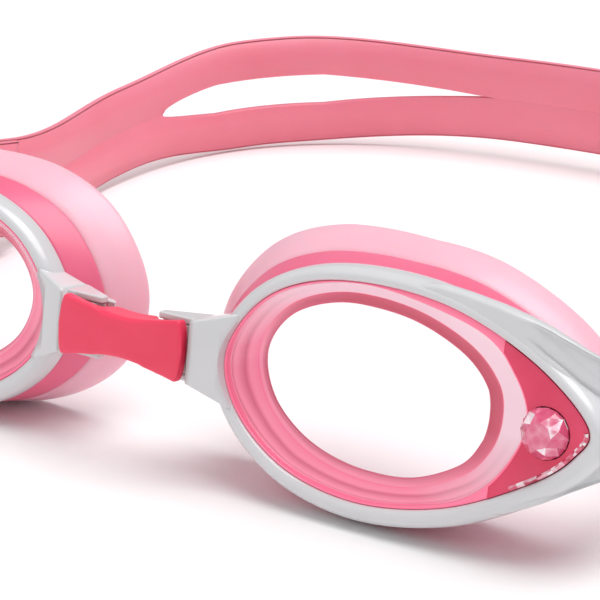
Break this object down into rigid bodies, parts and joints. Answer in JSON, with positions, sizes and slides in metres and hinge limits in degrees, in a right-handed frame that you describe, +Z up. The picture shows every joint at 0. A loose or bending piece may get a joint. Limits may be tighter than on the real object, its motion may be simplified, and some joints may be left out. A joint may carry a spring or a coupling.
{
  "type": "swimming goggles",
  "caption": "Swimming goggles with two leaning eye cups on a soft nose bridge, pivoting temple buckles, sliding keepers and a split silicone strap.",
  "frame": {"origin": "middle of the bounding box at the level of the surface the goggles stand on", "axes": "+X towards the wearer's left, +Y from the lenses back to the strap, +Z up; X = 0 is the mirror plane"},
  "size_m": [0.1756, 0.178, 0.039],
  "materials": {
    "white_plastic": "glossy",
    "clear_lens": "clear polished",
    "red_pink_plastic": "glossy",
    "pink_crystal": "faceted polished",
    "deep_pink_elastomer": "satin",
    "pale_pink_silicone": "satin translucent",
    "coral_elastomer": "satin",
    "strap_silicone": "satin",
    "steel_pin": "satin"
  },
  "bodies": {
    "bridge": {"nose_bridge": "coral_elastomer"},
    "cup_left": {"frame_left": "white_plastic", "lens_left": "clear_lens", "corner_plate_left": "red_pink_plastic", "gem_left": "pink_crystal", "seal_base_left": "deep_pink_elastomer", "seal_skirt_left": "pale_pink_silicone", "buckle_pin_left": "steel_pin"},
    "cup_right": {"frame_right": "white_plastic", "lens_right": "clear_lens", "corner_plate_right": "red_pink_plastic", "gem_right": "pink_crystal", "seal_base_right": "deep_pink_elastomer", "seal_skirt_right": "pale_pink_silicone", "buckle_pin_right": "steel_pin"},
    "buckle_body_left": {"buckle_left": "white_plastic"},
    "buckle_body_right": {"buckle_right": "white_plastic"},
    "strap_body": {"strap": "strap_silicone"},
    "keeper_body_left": {"keeper_left": "strap_silicone"},
    "keeper_body_right": {"keeper_right": "strap_silicone"}
  },
  "joints": [
    {"name": "cup_flex_left", "type": "hinge", "parent": "bridge", "child": "cup_left", "pos_m": [0.0076, -0.08356, 0.0204], "axis": [0, 0.1736, 0.9848], "range_deg": [-4, 4], "stiffness_Nm_per_rad": 0.3},
    {"name": "cup_flex_right", "type": "hinge", "parent": "bridge", "child": "cup_right", "pos_m": [-0.0076, -0.08356, 0.0204], "axis": [0, 0.1736, 0.9848], "range_deg": [-4, 4]},
    {"name": "buckle_turn_left", "type": "hinge", "parent": "cup_left", "child": "buckle_body_left", "pos_m": [0.0786, -0.06031, 0.01975], "axis": [0, 0.1736, 0.9848], "range_deg": [-9.8, 9.8]},
    {"name": "buckle_turn_right", "type": "hinge", "parent": "cup_right", "child": "buckle_body_right", "pos_m": [-0.0786, -0.06031, 0.01975], "axis": [0, 0.1736, 0.9848], "range_deg": [-9.8, 9.8]},
    {"name": "strap_travel", "type": "slide", "parent": "bridge", "child": "strap_body", "axis": [0, 0.9848, -0.1736], "range_m": [-0.005, 0.005]},
    {"name": "keeper_slide_left", "type": "slide", "parent": "strap_body", "child": "keeper_body_left", "axis": [0, 0.9848, -0.1736], "range_m": [0, 0.011]},
    {"name": "keeper_slide_right", "type": "slide", "parent": "strap_body", "child": "keeper_body_right", "axis": [0, 0.9848, -0.1736], "range_m": [0, 0.011]}
  ],
  "couplings": [
    {"joint": "cup_flex_right", "follows": "cup_flex_left", "ratio": -1},
    {"joint": "buckle_turn_left", "follows": "cup_flex_left", "ratio": -2.4375},
    {"joint": "buckle_turn_right", "follows": "cup_flex_left", "ratio": 2.4375},
    {"joint": "strap_travel", "follows": "cup_flex_left", "m_per_rad": 0.071}
  ]
}
